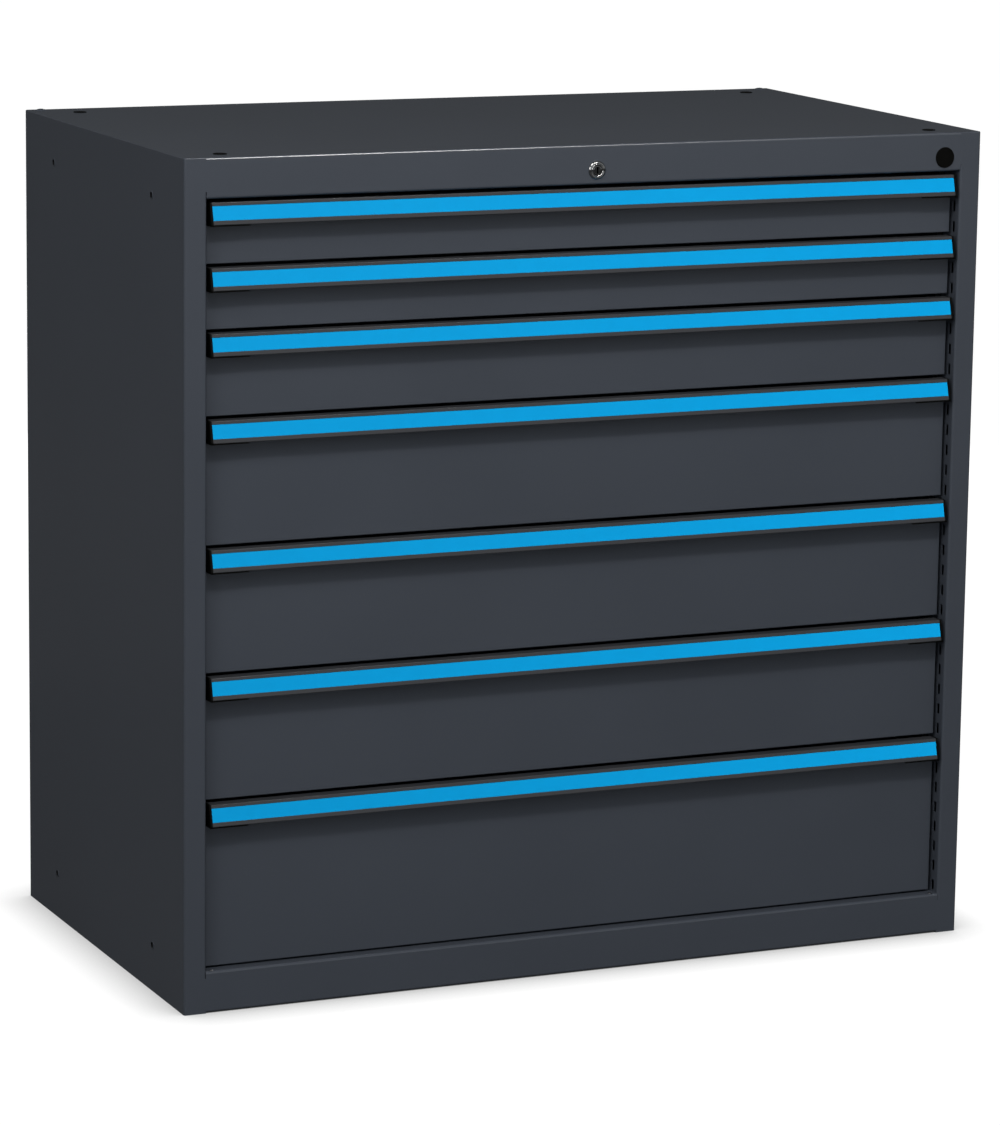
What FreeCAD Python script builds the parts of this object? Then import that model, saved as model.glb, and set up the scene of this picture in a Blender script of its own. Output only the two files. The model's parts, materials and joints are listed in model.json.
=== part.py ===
import FreeCAD, Part
import math
import os

os.makedirs("parts", exist_ok=True)
Vector = FreeCAD.Vector

# Drawer cabinet of folded steel sheet, seven drawers on roller slides, one central lock.
# Millimetres. While modelling, x runs to the right, y runs inwards from the front plane of
# the stiles, and z runs up from the floor. save() then centres the cabinet in depth.

# Drawer grid
module = 17.0                   # divider pitch inside a drawer
width_modules = 54
depth_modules = 27
drawer_pitches = (75.0, 75.0, 100.0, 150.0, 150.0, 150.0, 200.0)    # from the top down

# Housing
sheet = 1.5                     # housing sheet
bend_radius = 1.2               # inside radius of the housing's folds
top_rail_height = 46.8
top_margin = 3.2                # lock rail's lower edge above the first drawer's top line
sill_height = 50.0
sill_clearance = 1.0            # the sill rail's lower edge above the floor
stile_width = 27.0
flange_depth = 40.0             # slotted inner return of each stile
corner_slit = 8.0               # relief above and below the opening's corners
rail_lip = 20.0                 # return of the lock rail and the sill rail
rear_return = 18.0
rear_fold = 20.0                # the top panel's fold at the rear
foot_return = 25.0
back_sheet = 1.0
rear_space = 94.8               # from the back of the trays to the rear of the housing

# Slots in the stiles and rear posts
slot_pitch = 25.0
slot_first = 9.0                # first slot centre above the sill
slot_width = 7.0
slot_height = 13.0
open_slot_y = 13.0              # the column that shows beside the drawers
hook_slot_y = 32.0              # the column that the runners hook into
post_depth = 40.0
post_to_rear = 27.0

# Roller slides
channel_sheet = 1.5
channel_height = 32.0
channel_lift = 9.0              # channel's lower edge above the drawer's bottom line
rail_depth = 10.0               # channel on the tray
runner_depth = 10.1             # channel on the housing
carriage_sheet = 2.0
slide_gap = 1.2                 # on each side of the carriage plate
roller_clearance = 0.3
roller_end_gap = 0.8
roller_inset = 4.0              # from a roller's rim to the end of its channel
pin_radius = 4.0
pin_clearance = 0.15
carriage_height = 26.0
hook_width = 6.0
hook_height = 8.0
hook_drop = 5.0
hook_gap = 0.3
hook_sheet = 1.7

# Trays
tray_sheet = 1.0
tray_lift = 8.0                 # tray floor above the drawer's bottom line
tray_top_gap = 14.0             # tray rim below the drawer's top line
hem_height = 8.0
hem_sheet = 1.2
divider_slot_width = 3.0
divider_slot_height = 10.0
divider_row_first = 25.0
divider_row_pitch = 50.0

# Drawer fronts
front_sheet = 1.2
front_recess = 15.0             # front face behind the stiles
front_side_gap = 4.3            # to the stile's inner return
front_bottom_gap = 2.2
front_return = 12.0
front_edge_radius = 1.2

# Grip rails
grip_proud = 3.0                # lower lip in front of the stiles
grip_height = 25.0
grip_top_gap = 1.5              # below the drawer's top line
grip_setback = 6.4              # how far the face leans back from lip to top
grip_wall = 1.5                 # behind the label
grip_flange = 1.8
grip_leg = 1.6
grip_leg_length = 18.5
grip_hook_length = 8.7
grip_groove_clearance = 0.6
grip_seat_gap = 0.3             # front panel's upper edge below the grip's flange
label_recess = 0.9
label_thickness = 0.7
label_clearance = 0.2
lower_lip = 4.8
upper_lip = 3.7
lip_radius = 0.8
inner_round = 0.8               # inside corners of the grip
cap_thickness = 2.5
cap_tongue_length = 44.0
cap_tongue_height = 1.8
cap_tongue_depth = 3.0
cap_tongue_gap = 0.6            # below the lip
cap_inset = 0.5                 # cap's outer face inside the end of the front panel
label_end_gap = 0.3             # from the label's end to the end cap

# Lock
lock_z_drop = 30.0              # lock axis below the top of the housing
bezel_radius = 11.0
bezel_proud = 2.5
bezel_round = 2.2
barrel_radius = 8.0
barrel_clearance = 0.2
core_radius = 5.6
core_clearance = 0.1
core_sink = 1.0                 # core's face behind the bezel's face
core_tail = 2.0                 # core beyond the barrel
key_slot_width = 1.8
key_slot_height = 8.0
key_slot_depth = 12.0
nut_flats = 22.0
nut_thickness = 4.0
nut_clearance = 0.1
cam_radius = 12.0
cam_thickness = 3.0
cam_to_bar = 3.0
bar_to_flange = 2.0             # bar behind the stile's slotted return
cam_pin_radius = 2.5
cam_pin_clearance = 0.8
cam_pin_end = 1.0               # beyond the cross bar
lock_lift = 12.0                # travel of the lock bar
bar_sheet = 3.0
bar_width = 18.0
cross_bar_height = 16.0
bar_offset = 4.5                # upright bars outboard of the stile's inner face
finger_reach = 18.5             # fingers inboard of the stile's inner face
finger_height = 9.0
finger_gap = 2.5                # above the slide's channels
stud_radius = 3.0
stud_length = 18.0
stud_gap = 1.5                  # above an unlocked finger
stud_behind = 2.0               # behind a finger
guide_height = 20.0
guide_wall = 1.7
guide_clearance = 0.3
guide_lip = 2.3
guide_drawers = (2, 5)          # drawers beside which the guides sit, counted from 0

# Small fittings
plug_radius = 12.5
plug_proud = 1.0
plug_stem_radius = 11.0
plug_stem_length = 6.0
plug_wall = 1.2
plug_from_stile = 22.0
stem_clearance = 0.2
insert_radius = 4.5
insert_bore = 3.0
insert_length = 12.0
insert_rim_radius = 5.5
insert_rim = 0.4
insert_y = 110.0                # from the front and from the rear
insert_z = 6.5                  # above the sill and below the lock rail
top_plug_radius = 8.0
top_plug_proud = 0.8
top_plug_stem_radius = 6.3
top_plug_stem_length = 5.0
top_plug_x = 54.5               # from the side
top_plug_front = 32.0
top_plug_rear = 49.0
dome_radius = 7.5
dome_height = 2.0
dome_shank_radius = 2.5
dome_shank_length = 8.0
dome_x = 16.5                   # from the side
dome_y = 12.0                   # from the rear
sill_screw_radius = 3.0
sill_screw_height = 1.0
sill_screw_shank = 1.5
sill_screw_length = 6.0
sill_screw_x = 8.5              # from the stile
sill_screw_y = 4.5

# Shared finishing values
overshoot = 1.0                 # how far a cutting tool runs past the sheet it cuts
edge_round = 0.5                # plain edges of the grips and caps
groove_round = 0.3              # edges of the label groove
corner_round = 1.2              # the side panels' upper front corners
head_round = 0.5                # share of a flat head's height that its rim is rounded by

# Worked out from the sizes above
tray_half = width_modules * module / 2 + tray_sheet
tray_depth = depth_modules * module + 2 * tray_sheet
slide_space = rail_depth + runner_depth + carriage_sheet + 2 * slide_gap
opening_half = tray_half + slide_space
half_width = opening_half + stile_width
tray_front = front_recess + front_sheet
tray_back = tray_front + tray_depth
cabinet_depth = tray_back + rear_space
drawers_top = sill_height + sum(drawer_pitches)
opening_top = drawers_top + top_margin
cabinet_height = opening_top + top_rail_height
travel = tray_depth - tray_sheet
front_half = opening_half - front_side_gap
grip_half = front_half - cap_inset - cap_thickness
inner_half = half_width - sheet
punch = sheet + 2 * overshoot    # length of a hole cutter through a housing sheet
roller_radius = channel_height / 2 - channel_sheet - roller_clearance
runner_front = hook_slot_y - hook_width / 2
post_back = cabinet_depth - post_to_rear
post_front = post_back - post_depth
post_slot_y = post_back - post_depth / 2
runner_back = post_slot_y + hook_width / 2 + roller_inset
bar_y = flange_depth + bar_to_flange
cam_front = bar_y - cam_to_bar - cam_thickness
barrel_length = cam_front - core_tail
lock_z = cabinet_height - lock_z_drop
pin_reach = lock_lift / math.sqrt(2)
bar_x = opening_half + bar_offset
stud_y = bar_y + bar_sheet + stud_behind + stud_radius


def drawer_lines():
    """Bottom and top line of each drawer, from the top down."""
    lines = []
    top = drawers_top
    for pitch in drawer_pitches:
        lines.append((top - pitch, top))
        top -= pitch
    return lines


# Views that turn flat points into points in space
def plan(x, y):
    return Vector(x, y, 0)


def from_side(y, z):
    return Vector(0, y, z)


def from_front(x, z):
    return Vector(x, 0, z)


def box(x0, x1, y0, y1, z0, z1):
    return Part.makeBox(x1 - x0, y1 - y0, z1 - z0, Vector(x0, y0, z0))


def disc(radius, x, y, z, direction, length):
    return Part.makeCylinder(radius, length, Vector(x, y, z), direction)


def mirrored(shape):
    return shape.mirror(Vector(0, 0, 0), Vector(1, 0, 0))


def both_sides(solids):
    return list(solids) + [mirrored(solid) for solid in solids]


def bent_sheet(points, thickness, inner_radius, view):
    """Face of a folded sheet whose middle line runs through the points."""
    middle_radius = inner_radius + thickness / 2
    runs = [(b[0] - a[0], b[1] - a[1]) for a, b in zip(points, points[1:])]
    along = [(u / math.hypot(u, v), v / math.hypot(u, v)) for u, v in runs]

    def skin(shift):
        """Edges of one face of the sheet, shifted to the left of the middle line."""
        edges = []
        start = (points[0][0] - along[0][1] * shift, points[0][1] + along[0][0] * shift)
        for corner, before, after in zip(points[1:-1], along, along[1:]):
            turn = math.copysign(1, before[0] * after[1] - before[1] * after[0])
            angle = math.acos(before[0] * after[0] + before[1] * after[1])
            inset = middle_radius * math.tan(angle / 2)
            centre = (corner[0] - before[0] * inset - before[1] * turn * middle_radius,
                      corner[1] - before[1] * inset + before[0] * turn * middle_radius)
            radius = middle_radius - turn * shift
            out = (corner[0] - centre[0], corner[1] - centre[1])
            reach = radius / math.hypot(*out)
            first = (corner[0] - before[0] * inset - before[1] * shift,
                     corner[1] - before[1] * inset + before[0] * shift)
            middle = (centre[0] + out[0] * reach, centre[1] + out[1] * reach)
            last = (corner[0] + after[0] * inset - after[1] * shift,
                    corner[1] + after[1] * inset + after[0] * shift)
            edges.append(Part.LineSegment(view(*start), view(*first)).toShape())
            edges.append(Part.Arc(view(*first), view(*middle), view(*last)).toShape())
            start = last
        end = (points[-1][0] - along[-1][1] * shift, points[-1][1] + along[-1][0] * shift)
        edges.append(Part.LineSegment(view(*start), view(*end)).toShape())
        return edges

    left = skin(thickness / 2)
    right = skin(-thickness / 2)
    caps = []
    for one, other in ((left[0].firstVertex(), right[0].firstVertex()),
                       (left[-1].lastVertex(), right[-1].lastVertex())):
        caps.append(Part.LineSegment(one.Point, other.Point).toShape())
    return Part.Face(Part.Wire(Part.__sortEdges__(left + right + caps)))


def rounded_outline(corners, view):
    """Face inside corners (u, v, radius), each rounded by its radius."""
    edges = []
    count = len(corners)
    stops = []
    for i, (u, v, radius) in enumerate(corners):
        ahead = corners[(i + 1) % count]
        behind = corners[i - 1]
        to_behind = (behind[0] - u, behind[1] - v)
        to_ahead = (ahead[0] - u, ahead[1] - v)
        to_behind = [c / math.hypot(*to_behind) for c in to_behind]
        to_ahead = [c / math.hypot(*to_ahead) for c in to_ahead]
        half = math.acos(to_behind[0] * to_ahead[0] + to_behind[1] * to_ahead[1]) / 2
        inset = radius / math.tan(half)
        first = (u + to_behind[0] * inset, v + to_behind[1] * inset)
        last = (u + to_ahead[0] * inset, v + to_ahead[1] * inset)
        bisector = (to_behind[0] + to_ahead[0], to_behind[1] + to_ahead[1])
        reach = radius / math.sin(half) - radius
        size = math.hypot(*bisector)
        middle = (u + bisector[0] / size * reach, v + bisector[1] / size * reach)
        stops.append((first, middle, last, radius))
    for i, (first, middle, last, radius) in enumerate(stops):
        if radius:
            edges.append(Part.Arc(view(*first), view(*middle), view(*last)).toShape())
        following = stops[(i + 1) % count][0]
        edges.append(Part.LineSegment(view(*last), view(*following)).toShape())
    return Part.Face(Part.Wire(edges))


def round_edges(shape, radius, is_meant):
    edges = [edge for edge in shape.Edges if is_meant(edge.CenterOfMass)]
    return shape.makeFillet(radius, edges)


def near(value, target):
    return abs(value - target) < 0.01


def save(name, solids):
    """Write one node, with the cabinet's box centred on the vertical axis."""
    shape = solids[0] if len(solids) == 1 else Part.makeCompound(solids)
    shape = shape.copy()
    shape.translate(Vector(0, (grip_proud - cabinet_depth) / 2, 0))
    shape.exportStep("parts/" + name + ".step")


# Housing
def slot_rows():
    """Heights of the slot centres, from the sill up."""
    room = opening_top - sill_height - slot_first - slot_height / 2
    rows = int(room / slot_pitch) + 1
    return [sill_height + slot_first + slot_pitch * row for row in range(rows)]


def slots(y):
    x0 = opening_half - overshoot
    half = slot_width / 2
    rise = slot_height / 2
    return [box(x0, x0 + punch, y - half, y + half, z - rise, z + rise) for z in slot_rows()]


def insert_places():
    return [(y, z) for y in (insert_y, cabinet_depth - insert_y)
            for z in (sill_height + insert_z, opening_top - insert_z)]


def side_panel():
    middle = sheet / 2
    outer = [(half_width - middle, middle),
             (half_width - middle, cabinet_depth - middle),
             (half_width - rear_return, cabinet_depth - middle)]
    plain = bent_sheet([(opening_half, middle)] + outer, sheet, bend_radius, plan)
    flange = [(opening_half + middle, flange_depth), (opening_half + middle, middle)]
    slotted = bent_sheet(flange + outer, sheet, bend_radius, plan)
    low = sill_height - corner_slit
    high = opening_top + corner_slit
    zones = []
    for section, bottom, top in ((plain, 0, low), (slotted, low, high), (plain, high, cabinet_height)):
        zone = section.extrude(Vector(0, 0, top - bottom))
        zone.translate(Vector(0, 0, bottom))
        zones.append(zone)
    foot = box(half_width - foot_return, half_width - middle, middle, cabinet_depth - middle, 0, sheet)
    panel = zones[0].multiFuse(zones[1:] + [foot]).removeSplitter()
    panel = round_edges(panel, corner_round, lambda c: near(c.z, cabinet_height) and near(c.y, 0))
    holes = slots(open_slot_y) + slots(hook_slot_y)
    for y, z in insert_places():
        holes.append(disc(insert_radius, inner_half - overshoot, y, z, Vector(1, 0, 0), punch))
    return panel.cut(Part.makeCompound(holes))


def top_panel():
    middle = sheet / 2
    rail_middle = opening_top + middle
    top_middle = cabinet_height - middle
    section = bent_sheet([(rail_lip, rail_middle), (middle, rail_middle), (middle, top_middle),
                          (cabinet_depth - middle, top_middle),
                          (cabinet_depth - middle, cabinet_height - rear_fold)],
                         sheet, bend_radius, from_side)
    panel = section.extrude(Vector(2 * inner_half, 0, 0))
    panel.translate(Vector(-inner_half, 0, 0))
    under = cabinet_height - sheet
    fold_reach = sheet + bend_radius
    lowest = opening_top - overshoot
    highest = cabinet_height + overshoot
    corner = [box(opening_half, half_width, -overshoot, sheet, lowest, highest),
              box(opening_half, half_width, -overshoot, rail_lip + overshoot, lowest, under),
              box(half_width - rear_return, half_width, cabinet_depth - fold_reach,
                  cabinet_depth + overshoot, cabinet_height - rear_fold - overshoot, highest)]
    holes = both_sides(corner)
    back = Vector(0, 1, 0)
    up = Vector(0, 0, 1)
    holes.append(disc(barrel_radius + barrel_clearance, 0, -overshoot, lock_z, back, punch))
    plug_x = opening_half - plug_from_stile
    holes.append(disc(plug_stem_radius + stem_clearance, plug_x, -overshoot, lock_z, back, punch))
    for x, y in top_plug_places():
        holes.append(disc(top_plug_stem_radius + stem_clearance, x, y, under - overshoot, up, punch))
    for x in (-dome_from_centre(), dome_from_centre()):
        y = cabinet_depth - dome_y
        holes.append(disc(dome_shank_radius + stem_clearance, x, y, under - overshoot, up, punch))
    return panel.cut(Part.makeCompound(holes))


def base_panel():
    middle = sheet / 2
    low = sill_clearance + middle
    floor = sill_height - middle
    rear = cabinet_depth - sheet - back_sheet - middle
    section = bent_sheet([(rail_lip, low), (middle, low), (middle, floor), (rear, floor), (rear, low)],
                         sheet, bend_radius, from_side)
    panel = section.extrude(Vector(2 * inner_half, 0, 0))
    panel.translate(Vector(-inner_half, 0, 0))
    under = sill_height - sheet
    top = sill_height + overshoot
    corners = [box(opening_half, half_width, -overshoot, sheet + bend_radius, 0, top),
               box(opening_half, half_width, -overshoot, rail_lip + overshoot, 0, under),
               box(opening_half, opening_half + sheet, -overshoot, flange_depth, 0, top)]
    holes = both_sides(corners)
    up = Vector(0, 0, 1)
    for x in (-sill_screw_from_centre(), sill_screw_from_centre()):
        radius = sill_screw_shank + stem_clearance
        holes.append(disc(radius, x, sill_screw_y, under - overshoot, up, punch))
    return panel.cut(Part.makeCompound(holes))


def back_panel():
    outer = cabinet_depth - sheet
    half = inner_half - bend_radius
    high = cabinet_height - sheet - bend_radius
    return box(-half, half, outer - back_sheet, outer, sheet + sill_clearance, high)


def rear_post():
    """Slotted post of U section, open to the front, standing on the base."""
    middle = sheet / 2
    outer = inner_half - middle
    section = bent_sheet([(opening_half + middle, post_front), (opening_half + middle, post_back - middle),
                          (outer, post_back - middle), (outer, post_front)],
                         sheet, bend_radius, plan)
    post = section.extrude(Vector(0, 0, cabinet_height - sheet - sill_height))
    post.translate(Vector(0, 0, sill_height))
    return post.cut(Part.makeCompound(slots(post_slot_y)))


# Roller slides
def channel_section(web_x, lip_x, bottom):
    """C section whose web is at web_x and whose lips end at lip_x."""
    half = math.copysign(channel_sheet / 2, lip_x - web_x)
    low = bottom + channel_sheet / 2
    high = bottom + channel_height - channel_sheet / 2
    return bent_sheet([(lip_x, low), (web_x + half, low), (web_x + half, high), (lip_x, high)],
                      channel_sheet, channel_sheet / 2, from_front)


def runner(bottom):
    """Fixed channel on the right, with a hook at each end."""
    low = bottom + channel_lift
    section = channel_section(opening_half, opening_half - runner_depth, low)
    parts = [section.extrude(Vector(0, runner_back - runner_front, 0))]
    parts[0].translate(Vector(0, runner_front, 0))
    centre = low + channel_height / 2
    slot_z = min(slot_rows(), key=lambda z: abs(z - centre))
    lip_x = opening_half + sheet + hook_gap
    inner = opening_half - channel_sheet / 2
    for y in (hook_slot_y, post_slot_y):
        y0 = y - hook_width / 2
        y1 = y + hook_width / 2
        z0 = slot_z - hook_height / 2
        z1 = slot_z + hook_height / 2
        parts.append(box(inner, lip_x + hook_sheet, y0, y1, z0, z1))
        parts.append(box(lip_x, lip_x + hook_sheet, y0, y1, z0 - hook_drop, z1))
    return parts[0].multiFuse(parts[1:]).removeSplitter()


def tray_rail(bottom):
    section = channel_section(tray_half, tray_half + rail_depth, bottom + channel_lift)
    rail = section.extrude(Vector(0, tray_back - runner_front, 0))
    rail.translate(Vector(0, runner_front, 0))
    return rail


def carriage(bottom):
    """Middle plate on the right with its pins, and the four rollers on them."""
    z = bottom + channel_lift + channel_height / 2
    inner_x = tray_half + rail_depth + slide_gap
    outer_x = inner_x + carriage_sheet
    end = roller_radius + roller_inset
    tray_rollers = (runner_front + end, tray_back - travel / 2 - end)
    housing_rollers = (runner_front + travel / 2 + end, runner_back - end)
    inwards = Vector(-1, 0, 0)
    outwards = Vector(1, 0, 0)
    tray_roller = rail_depth + slide_gap - channel_sheet - roller_end_gap
    housing_roller = runner_depth + slide_gap - channel_sheet - roller_end_gap
    plate = box(inner_x, outer_x, tray_rollers[0] - end / 2, housing_rollers[1] + end / 2,
                z - carriage_height / 2, z + carriage_height / 2)
    pins = []
    rollers = []
    for places, x, direction, length in ((tray_rollers, inner_x, inwards, tray_roller),
                                         (housing_rollers, outer_x, outwards, housing_roller)):
        for y in places:
            pins.append(disc(pin_radius, x, y, z, direction, length))
            bore = disc(pin_radius + pin_clearance, x, y, z, direction, length)
            rollers.append(disc(roller_radius, x, y, z, direction, length).cut(bore))
    return [plate.multiFuse(pins)] + rollers


# Drawers
def divider_rows(height):
    rows = int((height - hem_height - divider_slot_height / 2 - divider_row_first) / divider_row_pitch) + 1
    return [divider_row_first + divider_row_pitch * row for row in range(rows)]


def slotted_wall(y, bottom, height):
    """End wall of a tray, with a slot on every divider line."""
    half = tray_half
    outline = [(-half, 0), (half, 0), (half, height), (-half, height)]
    openings = []
    for row in divider_rows(height):
        for line in range(1, width_modules):
            x = -width_modules * module / 2 + line * module
            side = divider_slot_width / 2
            rise = divider_slot_height / 2
            openings.append([(x - side, row - rise), (x + side, row - rise),
                             (x + side, row + rise), (x - side, row + rise)])
    wires = []
    for points in [outline] + openings:
        corners = [Vector(x, y, bottom + z) for x, z in points]
        wires.append(Part.makePolygon(corners + corners[:1]))
    face = Part.makeFace(Part.makeCompound(wires), "Part::FaceMakerBullseye")
    return face.extrude(Vector(0, tray_sheet, 0))


def tray(bottom, top):
    low = bottom + tray_lift
    high = top - tray_top_gap
    walls = [slotted_wall(tray_front, low, high - low),
             slotted_wall(tray_back - tray_sheet, low, high - low),
             box(-tray_half, tray_half, tray_front, tray_back, low, low + tray_sheet)]
    hem_low = high - hem_height
    for side in (-1, 1):
        outer = side * tray_half
        wall = sorted((outer, outer - side * tray_sheet))
        hem = sorted((outer, outer - side * (tray_sheet + hem_sheet)))
        walls.append(box(*wall, tray_front, tray_back, low, high))
        walls.append(box(*hem, tray_front, tray_back, hem_low, high))
    for outer, inner in ((tray_front, tray_front + tray_sheet + hem_sheet),
                         (tray_back - tray_sheet - hem_sheet, tray_back)):
        walls.append(box(-tray_half, tray_half, outer, inner, hem_low, high))
    return walls[0].multiFuse(walls[1:])


def finger_bottom(bottom):
    return bottom + channel_lift + channel_height + finger_gap


def lock_stud(bottom):
    z = finger_bottom(bottom) + finger_height + stud_gap + stud_radius
    return disc(stud_radius, tray_half, stud_y, z, Vector(1, 0, 0), stud_length)


def front_panel(bottom, top):
    low = bottom + front_bottom_gap
    high = top - grip_top_gap - grip_flange - grip_seat_gap
    back = front_recess + front_return
    outer = box(-front_half, front_half, front_recess, back, low, high)
    outer = round_edges(outer, front_edge_radius,
                        lambda c: near(c.y, front_recess) and not near(c.z, high))
    inner_edge = front_half - front_sheet
    rear = back + overshoot
    over = high + overshoot
    hollow = box(-inner_edge, inner_edge, tray_front, rear, low + front_sheet, over)
    hook_low = top - grip_top_gap - grip_flange - grip_hook_length
    notch = box(-front_half, front_half, tray_front, rear, hook_low - grip_seat_gap, over)
    return outer.cut(hollow).cut(notch)


def grip_face(rise, depth=0.0):
    """Point (y, z below the drawer's top line) on the leaning face, or depth behind it."""
    size = math.hypot(grip_setback, grip_height)
    y = -grip_proud + grip_setback * rise / grip_height + depth * grip_height / size
    z = rise - grip_height - grip_top_gap - depth * grip_setback / size
    return y, z


def grip(top):
    wall = grip_wall + label_recess
    under = -grip_top_gap - grip_flange
    leg_front = front_recess - grip_leg
    hook_front = tray_front + grip_groove_clearance
    hook_back = hook_front + grip_leg
    label_low = grip_face(lower_lip)
    label_high = grip_face(grip_height - upper_lip)
    inner_top_rise = grip_height - grip_flange
    inner_top = grip_face(inner_top_rise, wall)
    leg_low = -grip_top_gap - grip_leg_length
    hook_low = under - grip_hook_length
    groove_low = grip_face(lower_lip, label_recess)
    groove_high = grip_face(grip_height - upper_lip, label_recess)
    corners = [(*grip_face(0), lip_radius), (*label_low, groove_round), (*groove_low, 0),
               (*groove_high, 0), (*label_high, groove_round),
               (*grip_face(grip_height), lip_radius), (hook_back, -grip_top_gap, edge_round),
               (hook_back, hook_low, edge_round), (hook_front, hook_low, edge_round),
               (hook_front, under, 0), (front_recess, under, 0),
               (front_recess, leg_low, edge_round), (leg_front, leg_low, edge_round),
               (leg_front, under, inner_round), (inner_top[0], under, inner_round),
               (*grip_face(0, wall), lip_radius)]
    section = rounded_outline([(y, top + z, radius) for y, z, radius in corners], from_side)
    rail = section.extrude(Vector(2 * grip_half, 0, 0))
    rail.translate(Vector(-grip_half, 0, 0))
    return rail


def label(top):
    low = lower_lip + label_clearance
    high = grip_height - upper_lip - label_clearance
    front = label_recess - label_thickness
    corners = [grip_face(low, front), grip_face(high, front),
               grip_face(high, label_recess), grip_face(low, label_recess)]
    section = rounded_outline([(y, top + z, 0) for y, z in corners], from_side)
    half = grip_half - label_end_gap
    strip = section.extrude(Vector(2 * half, 0, 0))
    strip.translate(Vector(-half, 0, 0))
    return strip


def end_cap(top):
    """Cap on the right end of a grip, with a tongue under the lower lip."""
    lip_y, lip_z = grip_face(0)
    low = lip_z - cap_tongue_height
    corners = [(lip_y, low, edge_round), (lip_y, lip_z + lip_radius, 0),
               (*grip_face(grip_height), lip_radius), (front_recess, -grip_top_gap, 0),
               (front_recess, low, edge_round)]
    section = rounded_outline([(y, top + z, radius) for y, z, radius in corners], from_side)
    plate = section.extrude(Vector(cap_thickness, 0, 0))
    plate.translate(Vector(grip_half, 0, 0))
    y0 = lip_y + lip_radius
    tongue = box(grip_half - cap_tongue_length, grip_half + cap_thickness / 2,
                 y0, y0 + cap_tongue_depth, top + low, top + lip_z - cap_tongue_gap)
    return plate.fuse(tongue)


# Lock
def lock_cylinder():
    back = Vector(0, 1, 0)
    bezel = disc(bezel_radius, 0, -bezel_proud, lock_z, back, bezel_proud)
    bezel = round_edges(bezel, bezel_round, lambda c: near(c.y, -bezel_proud))
    barrel = disc(barrel_radius, 0, 0, lock_z, back, barrel_length)
    bore = disc(core_radius + core_clearance, 0, -bezel_proud - overshoot, lock_z, back,
                bezel_proud + barrel_length + 2 * overshoot)
    housing = bezel.fuse(barrel).cut(bore)
    reach = nut_flats / math.sqrt(3)
    turns = [math.radians(60 * k) for k in range(6)]
    corners = [(reach * math.cos(turn), lock_z + reach * math.sin(turn), 0) for turn in turns]
    nut = rounded_outline(corners, from_front).extrude(Vector(0, nut_thickness, 0))
    nut.translate(Vector(0, sheet, 0))
    hole = disc(barrel_radius + nut_clearance, 0, 0, lock_z, back, sheet + nut_thickness + overshoot)
    return [housing, nut.cut(hole)]


def lock_core():
    face = core_sink - bezel_proud
    core = disc(core_radius, 0, face, lock_z, Vector(0, 1, 0), cam_front - face)
    key_slot = box(-key_slot_width / 2, key_slot_width / 2, face - overshoot, face + key_slot_depth,
                   lock_z - key_slot_height / 2, lock_z + key_slot_height / 2)
    return core.cut(key_slot)


def pin_offset():
    """How far the drive pin sits to the left of and below the lock's axis when unlocked."""
    return pin_reach * math.sin(math.radians(45))


def lock_cam():
    back = Vector(0, 1, 0)
    plate = disc(cam_radius, 0, cam_front, lock_z, back, cam_thickness)
    start = cam_front + cam_thickness / 2
    length = bar_y + bar_sheet + cam_pin_end - start
    pin = disc(cam_pin_radius, -pin_offset(), start, lock_z - pin_offset(), back, length)
    return plate.fuse(pin)


def lock_bar():
    """Slotted cross bar, an upright bar at each end, and their fingers."""
    bar_z = lock_z - pin_offset()
    high = bar_z + cross_bar_height / 2
    back = bar_y + bar_sheet
    cross_bar = box(-bar_x, bar_x, bar_y, back, high - cross_bar_height, high)
    room = cam_pin_radius + cam_pin_clearance
    slot = box(-pin_reach - room, -pin_offset() + room, bar_y - overshoot, back + overshoot,
               bar_z - room, bar_z + room)
    lowest = finger_bottom(drawer_lines()[-1][0])
    side = [box(bar_x, bar_x + bar_sheet, bar_y, bar_y + bar_width, lowest, high)]
    for bottom, _ in drawer_lines():
        z = finger_bottom(bottom)
        side.append(box(opening_half - finger_reach, bar_x, bar_y, back, z, z + finger_height))
    return [cross_bar.cut(slot)] + both_sides(side)


def lock_guide(bottom):
    """Block on the right side panel that an upright bar slides in."""
    z = bottom + channel_lift + channel_height / 2
    outer = bar_x + bar_sheet + guide_clearance
    inner = bar_x - guide_clearance
    front = bar_y - guide_clearance
    back = bar_y + bar_width + guide_clearance
    z0 = z - guide_height / 2
    z1 = z + guide_height / 2
    block = box(inner - guide_wall, inner_half, front - guide_lip, back + guide_lip, z0, z1)
    low = z0 - overshoot
    high = z1 + overshoot
    way = box(inner, outer, front, back, low, high)
    mouth = box(inner - guide_wall - overshoot, inner + overshoot, front + guide_lip, back - guide_lip,
                low, high)
    return block.cut(way).cut(mouth)


# Small fittings
def top_plug_places():
    x = half_width - top_plug_x
    return [(side * x, y) for side in (-1, 1) for y in (top_plug_front, cabinet_depth - top_plug_rear)]


def dome_from_centre():
    return half_width - dome_x


def sill_screw_from_centre():
    return opening_half - sill_screw_x


def top_plugs():
    plugs = []
    for x, y in top_plug_places():
        down = Vector(0, 0, -1)
        stem = disc(top_plug_stem_radius, x, y, cabinet_height, down, top_plug_stem_length)
        head = disc(top_plug_radius, x, y, cabinet_height, Vector(0, 0, 1), top_plug_proud)
        head = round_edges(head, head_round * top_plug_proud,
                           lambda c: near(c.z, cabinet_height + top_plug_proud))
        plugs.append(head.fuse(stem))
    return plugs


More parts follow.
